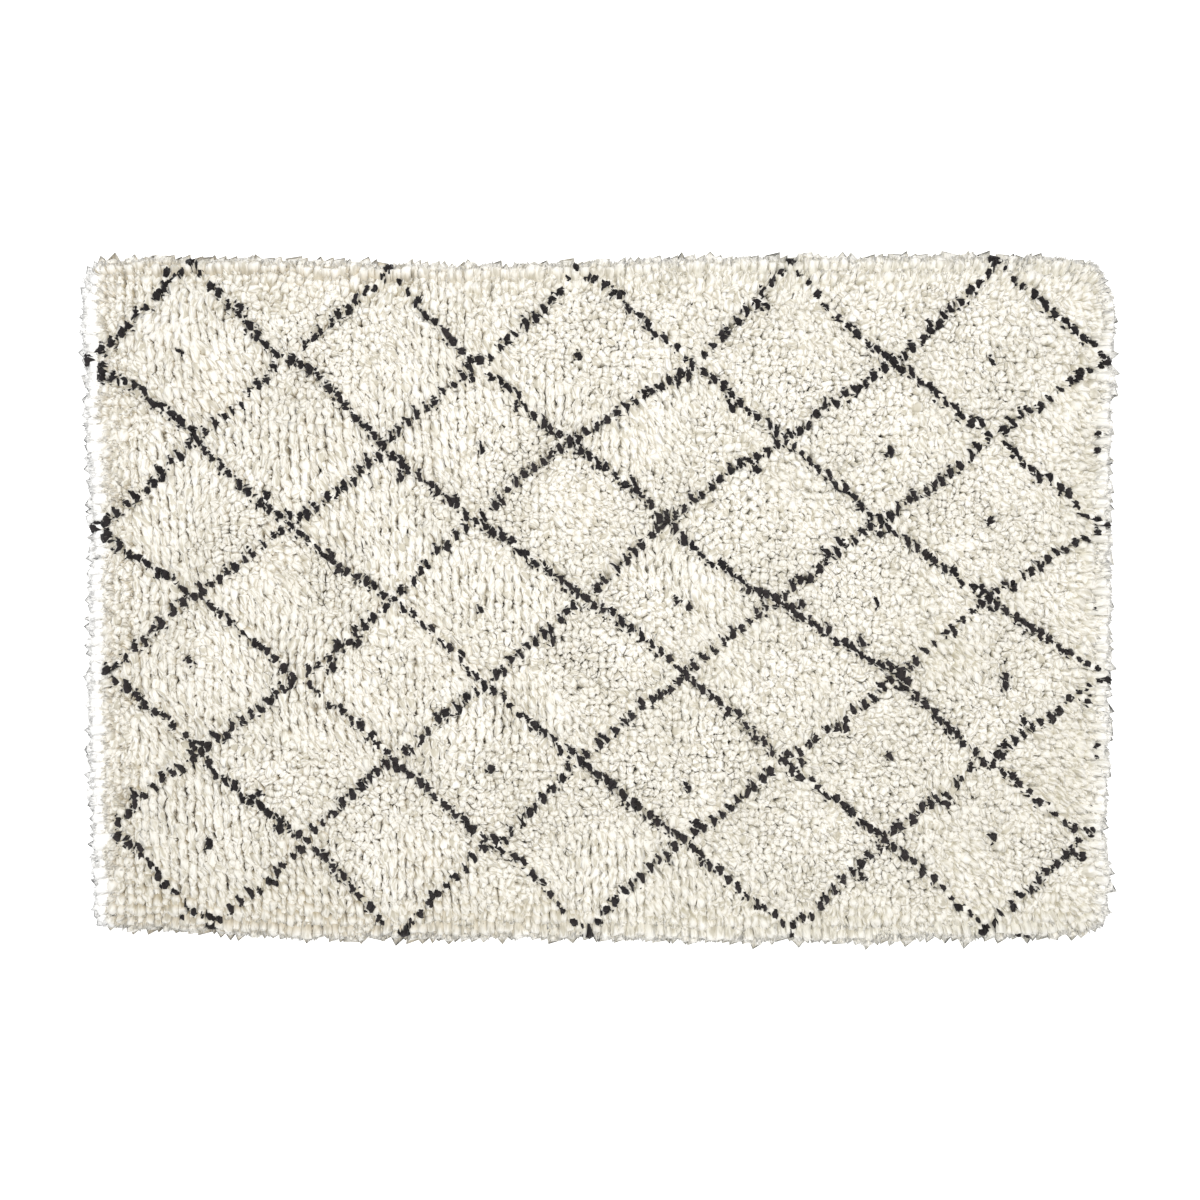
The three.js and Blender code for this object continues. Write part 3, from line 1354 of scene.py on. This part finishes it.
@dataclass(frozen=True)
class WoolFinish:
    """Matt hand-spun wool: lighter at the tip, darker at the root by painted shade, with fibres along the
    strand.

    The painted root shade's colour turns from west to east. The tips are of two colours, in patches that
    follow each tuft's value, random colour and painted shade, and soft clouds. The fibres are a fine
    pattern, drawn out along the strand, that gives it relief and darkens it in stripes of painted shade.
    Wool lit by painted rim light takes that near-white colour.
    """

    name: str
    tip: Colour
    tip_other: Colour
    # Painted light: the near-white colour that the rim is painted towards
    edge: Colour
    # Painted shade: the darker root colours, west and east, that fill the cracks between tufts
    root_shade_west: Colour
    root_shade_east: Colour
    root_shade_turn: Stretch = (-0.6, 0.3)
    cloud_scale: float = 5.0
    cloud_detail: float = 3.0
    patches: Stretch = (0.5, 1.5)
    shade: Stretch = (0.5, 0.95)
    fibre_scale: float = 230.0
    fibre_detail: float = 2.0
    fibre_draw: float = 0.25
    fibre_relief: float = 0.0045
    # Painted shade: the darker colour painted in stripes between the fibres
    streak_shade: Colour = (0.66, 0.635, 0.56)
    shade_streaks: Stretch = (0.32, 0.55)
    # Painted light: the stretch of rim light share over which the wool is whitened
    rim_light_ramp: Stretch = (0.0, 0.9)
    roughness: float = 0.9
    specular: float = 0.2
    sheen: float = 0.3
    sheen_roughness: float = 0.5

    def make(self) -> bpy.types.Material:
        """Builds the material.

        Returns:
            The material.
        """
        bench = Bench(self.name)
        place = bench.add("ShaderNodeTexCoord").outputs["Object"]
        east = bench.add("ShaderNodeSeparateXYZ", {0: place}).outputs["X"]
        along = bench.attribute("along")
        # Painted shade: the root colour, turning from west to east, darkens the lower part of each strand
        root = bench.mix(bench.ramp(east, self.root_shade_turn), (*self.root_shade_west, 1), (*self.root_shade_east, 1))
        clouds = bench.noise(place, self.cloud_scale, self.cloud_detail)
        # The tips' two colours follow each tuft's value: random colour, and painted shade to the south
        # and beside charcoal
        patch = bench.add("ShaderNodeMath", {0: bench.attribute("tone"), 1: clouds}, operation="ADD")
        patched = bench.ramp(patch.outputs[0], self.patches)
        tip = bench.mix(patched, (*self.tip, 1), (*self.tip_other, 1))
        grain = bench.add(
            "ShaderNodeMapping",
            {"Vector": bench.attribute("grain", "Vector"), "Scale": (1, self.fibre_draw, 1)},
        )
        fibres = bench.noise(grain.outputs[0], self.fibre_scale, self.fibre_detail)
        # Painted shade: root colour low on the strand and tip colour at the top, so the cracks between
        # tufts read dark
        shaded = bench.mix(bench.ramp(along, self.shade), root, tip)
        # Painted shade: darker stripes between the fibres, multiplied into the colour
        shade_streaks = bench.mix(bench.ramp(fibres, self.shade_streaks), (*self.streak_shade, 1), (1, 1, 1, 1))
        colour = bench.mix(1.0, shaded, shade_streaks, "MULTIPLY")
        # Painted light: the wool is whitened towards the rim colour by its share of rim light
        colour = bench.mix(bench.ramp(bench.attribute("edge"), self.rim_light_ramp), colour, (*self.edge, 1))
        bump = bench.add(
            "ShaderNodeBump",
            {"Height": fibres, "Distance": self.fibre_relief, "Strength": 1.0},
        )
        shader = bench.add(
            "ShaderNodeBsdfPrincipled",
            {
                "Base Color": colour,
                "Normal": bump.outputs[0],
                "Roughness": self.roughness,
                "Specular IOR Level": self.specular,
                "Sheen Weight": self.sheen,
                "Sheen Roughness": self.sheen_roughness,
            },
        )
        return bench.finish(shader)


# Each finish's root colours are painted shade for the cracks, and its rim colour is painted light
CREAM = WoolFinish(
    name="CreamWool",
    tip=(0.875, 0.848, 0.79),
    tip_other=(0.785, 0.757, 0.69),
    edge=(0.985, 0.98, 0.97),
    root_shade_west=(0.54, 0.475, 0.355),
    root_shade_east=(0.66, 0.63, 0.535),
)
CHARCOAL = WoolFinish(
    name="CharcoalWool",
    tip=(0.015, 0.0125, 0.0145),
    tip_other=(0.034, 0.028, 0.029),
    edge=(0.025, 0.021, 0.023),
    root_shade_west=(0.011, 0.009, 0.009),
    root_shade_east=(0.01, 0.008, 0.009),
    sheen=0.1,
)
GROUND = WoolFinish(
    name="GroundWool",
    tip=(0.76, 0.71, 0.62),
    tip_other=(0.7, 0.65, 0.56),
    edge=(0.76, 0.71, 0.62),
    root_shade_west=(0.76, 0.71, 0.62),
    root_shade_east=(0.76, 0.71, 0.62),
)


@dataclass
class GroundWeave:
    """The thin woven ground that the knots are tied on, ribbed by its wefts.

    It lies a hair above the floor, by its lift, and ends inside the outline by the inset.
    """

    outline: Outline
    ribs: int = 80
    lengths: int = 20
    thickness: float = 0.003
    rib: float = 0.0006
    inset: float = 0.012
    lift: float = 0.0002

    def build(self) -> bpy.types.Object:
        """Models the ground as a ribbed sheet with a thickness.

        Returns:
            The piece.
        """
        deselect_all()
        courses = 2 * self.ribs
        bpy.ops.mesh.primitive_grid_add(x_subdivisions=self.lengths, y_subdivisions=courses, size=1)
        ground = bpy.context.object
        ground.name = "GroundWeave"
        mesh = ground.data
        points = np.zeros(len(mesh.vertices) * 3)
        mesh.vertices.foreach_get("co", points)
        points = points.reshape(-1, 3)
        course = np.round((points[:, 1] + 0.5) * courses)
        x, y = self.outline.place(0.5 + points[:, 0], 0.5 + points[:, 1], self.inset)
        z = self.lift + self.rib * (course % 2)
        mesh.vertices.foreach_set("co", np.stack([x, y, z], axis=-1).ravel())
        mesh.update()
        select_only(ground)
        solidify = ground.modifiers.new("thickness", "SOLIDIFY")
        solidify.thickness = self.thickness
        solidify.offset = 1
        bpy.ops.object.modifier_apply(modifier=solidify.name)
        bpy.ops.object.shade_smooth()
        for label, level in (("along", 0.5), ("tone", 0.5), ("edge", 0.0)):
            mark(mesh, label, np.full(len(mesh.vertices), level))
        places = np.zeros(len(mesh.vertices) * 3)
        mesh.vertices.foreach_get("co", places)
        mark(mesh, "grain", places.reshape(-1, 3))
        return ground


@dataclass(frozen=True)
class Layer:
    """One layer of locks along a ring of knots near the rim.

    The ring is counted from the rim. The shift is in knots, the length in pile lengths, the base a
    height above the other tufts' roots and the lean a share of the knot's own. The take is added to the
    knot's own, so that no two layers are alike.
    """

    ring: int
    shift: float
    length: float
    base: float
    lean: float
    take: int


LAYERS = (
    Layer(0, 0.0, 1.05, 0.001, 1.3, 0),
    Layer(0, 0.5, 1.08, 0.004, 1.15, 1),
    Layer(0, 0.25, 1.1, 0.0055, 1.05, 2),
    Layer(1, 0.5, 1.1, 0.004, 1.1, 3),
)


@dataclass(frozen=True)
class Stand:
    """How the charcoal tufts stand.

    The rise is above the other tufts' roots. The length and the plumpness are shares of an even tuft's,
    and a lone tuft has a share of that width.
    """

    rise: float
    length: float
    plump: float
    lone: float

    def where(self, mask: np.ndarray, other: "Stand") -> "Stand":
        """Sorts tufts into this stand and another one.

        Args:
            mask: Which tufts stand this way.
            other: How the others stand.

        Returns:
            A stand that holds a value for each tuft.
        """
        return Stand(*(np.where(mask, *pair) for pair in zip(astuple(self), astuple(other))))


INSIDE = Stand(rise=0.0035, length=1.0, plump=1.0, lone=0.92)
AT_RIM = Stand(rise=0.01, length=0.85, plump=1.2, lone=0.6)


@dataclass(frozen=True)
class Fibres:
    """The loose fibres that stand out of the rim: their sizes in metres, and how their lean strays."""

    count: int = 2200
    stray: float = 0.004
    root: float = 0.003
    shortest: float = 0.026
    longest: float = 0.038
    thickness: float = 0.0009
    lean_stray: float = 0.25
    seed: int = 71


@dataclass
class Pile:
    """The knotted pile: cream yarn ends in bands, charcoal tufts, splayed rim locks and loose fibres.

    The widths and depths of locks and charcoal tufts are in pitches, and the charcoal tufts' length is
    in pile lengths. Charcoal tufts lean along their grain by a share more.
    """

    knots: KnotField
    forms: dict[Bunch, list[Form]]
    fibres: Fibres = Fibres()
    bands: int = 5
    lock_width: float = 1.0
    lock_depth: float = 1.7
    charcoal_width: float = 1.25
    charcoal_depth: float = 1.35
    charcoal_length: float = 1.03
    charcoal_lean: float = 0.3

    HABIT: ClassVar[Habit] = Habit(floor=INSIDE_GROUND, unevenness=0.0006)

    def cream_bands(self) -> list[bpy.types.Object]:
        """Builds the cream yarn ends, band by band from west to east, with short ones under charcoal.

        Returns:
            The pieces.
        """
        ends, knot = self.knots.ends(self.HABIT)
        column = self.knots.column[knot]
        edges = np.linspace(0, self.knots.columns, self.bands + 1)
        pieces = []
        for band, (start, stop) in enumerate(zip(edges, edges[1:]), start=1):
            heap = Heap()
            here = (column >= start) & (column < stop)
            heap.plant(self.forms[Bunch.END], ends.only(here), self.HABIT)
            pieces.append(heap.build(f"CreamPile{band}"))
        return pieces

    def rim_locks(self) -> bpy.types.Object:
        """Builds the cream locks that splay out at the rim, between its tufts and over them.

        Returns:
            The piece.
        """
        knots = self.knots
        heap = Heap()
        for layer in LAYERS:
            ring = ~knots.dark & (knots.rings == layer.ring)
            planting = knots.planting(ring, self.lock_width, self.lock_depth, layer.length)
            across = planting.twist + math.pi / 2
            planting = replace(
                planting,
                x=planting.x + layer.shift * knots.pitch_x * np.cos(across),
                y=planting.y + layer.shift * knots.pitch_y * np.sin(across),
                base=planting.base + layer.base,
                lean_x=layer.lean * planting.lean_x,
                lean_y=layer.lean * planting.lean_y,
                take=planting.take + layer.take,
            )
            heap.plant(self.forms[Bunch.LOCK], planting, Habit())
        return heap.build("RimLocks")

    def charcoal(self) -> bpy.types.Object:
        """Builds the charcoal tufts of the lattice.

        Returns:
            The piece.
        """
        knots = self.knots
        heap = Heap()
        planting = knots.planting(
            knots.dark, self.charcoal_width, self.charcoal_depth, self.charcoal_length
        )
        stand = AT_RIM.where((knots.rings == 0)[knots.dark], INSIDE)
        bold = np.where(knots.alone[knots.dark], stand.lone, 1)
        planting = replace(
            planting,
            base=planting.base + stand.rise,
            length=planting.length * stand.length,
            width=planting.width * bold * stand.plump,
            depth=planting.depth * bold * stand.plump,
            lean_x=planting.lean_x + self.charcoal_lean * knots.grain_x[knots.dark],
            lean_y=planting.lean_y + self.charcoal_lean * knots.grain_y[knots.dark],
        )
        heap.plant(self.forms[Bunch.DASH], planting, Habit(floor=INSIDE_GROUND))
        return heap.build("CharcoalKnots")

    def rim_fibres(self) -> bpy.types.Object:
        """Builds the loose fibres that stand out of the rim.

        Returns:
            The piece.
        """
        knots, fibres = self.knots, self.fibres
        count = fibres.count
        random = np.random.default_rng(fibres.seed)
        chosen = random.choice(np.flatnonzero(knots.rings == 0), count)
        planting = Planting(
            x=knots.x[chosen] + random.normal(0, fibres.stray, count),
            y=knots.y[chosen] + random.normal(0, fibres.stray, count),
            base=np.full(count, fibres.root),
            length=random.uniform(fibres.shortest, fibres.longest, count),
            width=np.full(count, fibres.thickness),
            depth=np.full(count, fibres.thickness),
            twist=random.uniform(0, math.tau, count),
            lean_x=knots.lean_x[chosen] + random.normal(0, fibres.lean_stray, count),
            lean_y=knots.lean_y[chosen] + random.normal(0, fibres.lean_stray, count),
            tone=random.random(count),
            edge=knots.edge[chosen],
            take=np.zeros(count, dtype=int),
        )
        heap = Heap()
        heap.plant(self.forms[Bunch.FIBRE][:1], planting, Habit(unevenness=0))
        return heap.build("RimFibres")


@dataclass
class Studio:
    """The pale floor, the soft light and the camera over the rug.

    The camera frames the rug as the photo does, at so many metres to a pixel in the focus plane, a
    height within the pile. The middle pixel is the one over the rug's middle.
    """

    photo_px: float = 1200.0
    metres_per_px: float = 0.001758
    height: float = 2.65
    focus_plane: float = 0.006
    middle_px: tuple[float, float] = (599.5, 598.5)
    sensor: float = 36.0
    floor_size: float = 30.0
    floor_drop: float = 0.0005
    floor_colour: Colour = (0.9, 0.9, 0.9)
    floor_roughness: float = 0.9
    floor_glow: float = 0.45
    sky_colour: Colour = (0.97, 0.985, 1.0)
    sky_strength: float = 0.68
    lamp_size: tuple[float, float] = (3.2, 2.6)
    lamp_place: tuple[float, float, float] = (0.1, 0.2, 2.8)
    lamp_colour: Colour = (1.0, 0.985, 0.96)
    lamp_power: float = 80.0

    def camera(self) -> None:
        """Sets the camera straight above the rug, framed as the photo is."""
        data = bpy.data.cameras.new("Overhead")
        data.sensor_width = self.sensor
        reach = self.photo_px * self.metres_per_px
        data.lens = self.sensor * (self.height - self.focus_plane) / reach
        camera = bpy.data.objects.new("Overhead", data)
        half = self.photo_px / 2
        camera.location = (
            (half - self.middle_px[0]) * self.metres_per_px,
            (self.middle_px[1] - half) * self.metres_per_px,
            self.height,
        )
        bpy.context.scene.collection.objects.link(camera)
        bpy.context.scene.camera = camera

    def floor(self) -> None:
        """Lays a pale floor that stays white around the rug."""
        deselect_all()
        bpy.ops.mesh.primitive_plane_add(size=self.floor_size, location=(0, 0, -self.floor_drop))
        bpy.ops.object.transform_apply(location=True, rotation=False, scale=False)
        floor = bpy.context.object
        floor.name = "Floor"
        bench = Bench("PaleFloor")
        shader = bench.add(
            "ShaderNodeBsdfPrincipled",
            {
                "Base Color": (*self.floor_colour, 1),
                "Roughness": self.floor_roughness,
                "Emission Color": (1, 1, 1, 1),
                "Emission Strength": self.floor_glow,
            },
        )
        floor.data.materials.append(bench.finish(shader))

    def light(self) -> None:
        """Hangs a wide soft lamp nearly overhead and fills the rest with a pale sky."""
        world = bpy.data.worlds.new("PaleSky")
        world.use_nodes = True
        background = world.node_tree.nodes["Background"]
        background.inputs["Color"].default_value = (*self.sky_colour, 1)
        background.inputs["Strength"].default_value = self.sky_strength
        bpy.context.scene.world = world
        data = bpy.data.lights.new("Softbox", "AREA")
        data.shape = "RECTANGLE"
        data.size, data.size_y = self.lamp_size
        data.energy = self.lamp_power
        data.color = self.lamp_colour
        lamp = bpy.data.objects.new("Softbox", data)
        lamp.location = self.lamp_place
        direction = -lamp.location
        lamp.rotation_euler = direction.to_track_quat("-Z", "Y").to_euler()
        bpy.context.scene.collection.objects.link(lamp)
        bpy.context.scene.view_settings.view_transform = "Standard"

    def build(self) -> None:
        """Sets up the floor, the light and the camera."""
        self.floor()
        self.light()
        self.camera()


def dress(piece: bpy.types.Object, material: bpy.types.Material) -> None:
    """Gives a piece its finish and its place on the rug's body.

    Args:
        piece: The piece.
        material: Its finish.
    """
    piece.data.materials.clear()
    piece.data.materials.append(material)
    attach(piece, BODY)
    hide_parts(NODE)
    LOG.info("%s: %d triangles", piece.name, sum(len(p.vertices) - 2 for p in piece.data.polygons))


def main() -> None:
    logging.basicConfig(level=logging.INFO, format="%(name)s: %(message)s")
    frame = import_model()
    Studio().build()
    outline = Outline.of(frame["nodes"][NODE])
    knots = KnotField(outline)
    LOG.info("tied a knot every %.4f by %.4f m", knots.pitch_x, knots.pitch_y)
    pile = Pile(knots, BunchMaker().make())
    cream, charcoal, ground_wool = CREAM.make(), CHARCOAL.make(), GROUND.make()
    ground = GroundWeave(outline).build()
    dress(ground, ground_wool)
    cream_pieces = [*pile.cream_bands(), pile.rim_locks(), pile.rim_fibres()]
    for piece in cream_pieces:
        dress(piece, cream)
    knotted = pile.charcoal()
    dress(knotted, charcoal)


if __name__ == "__main__":
    main()
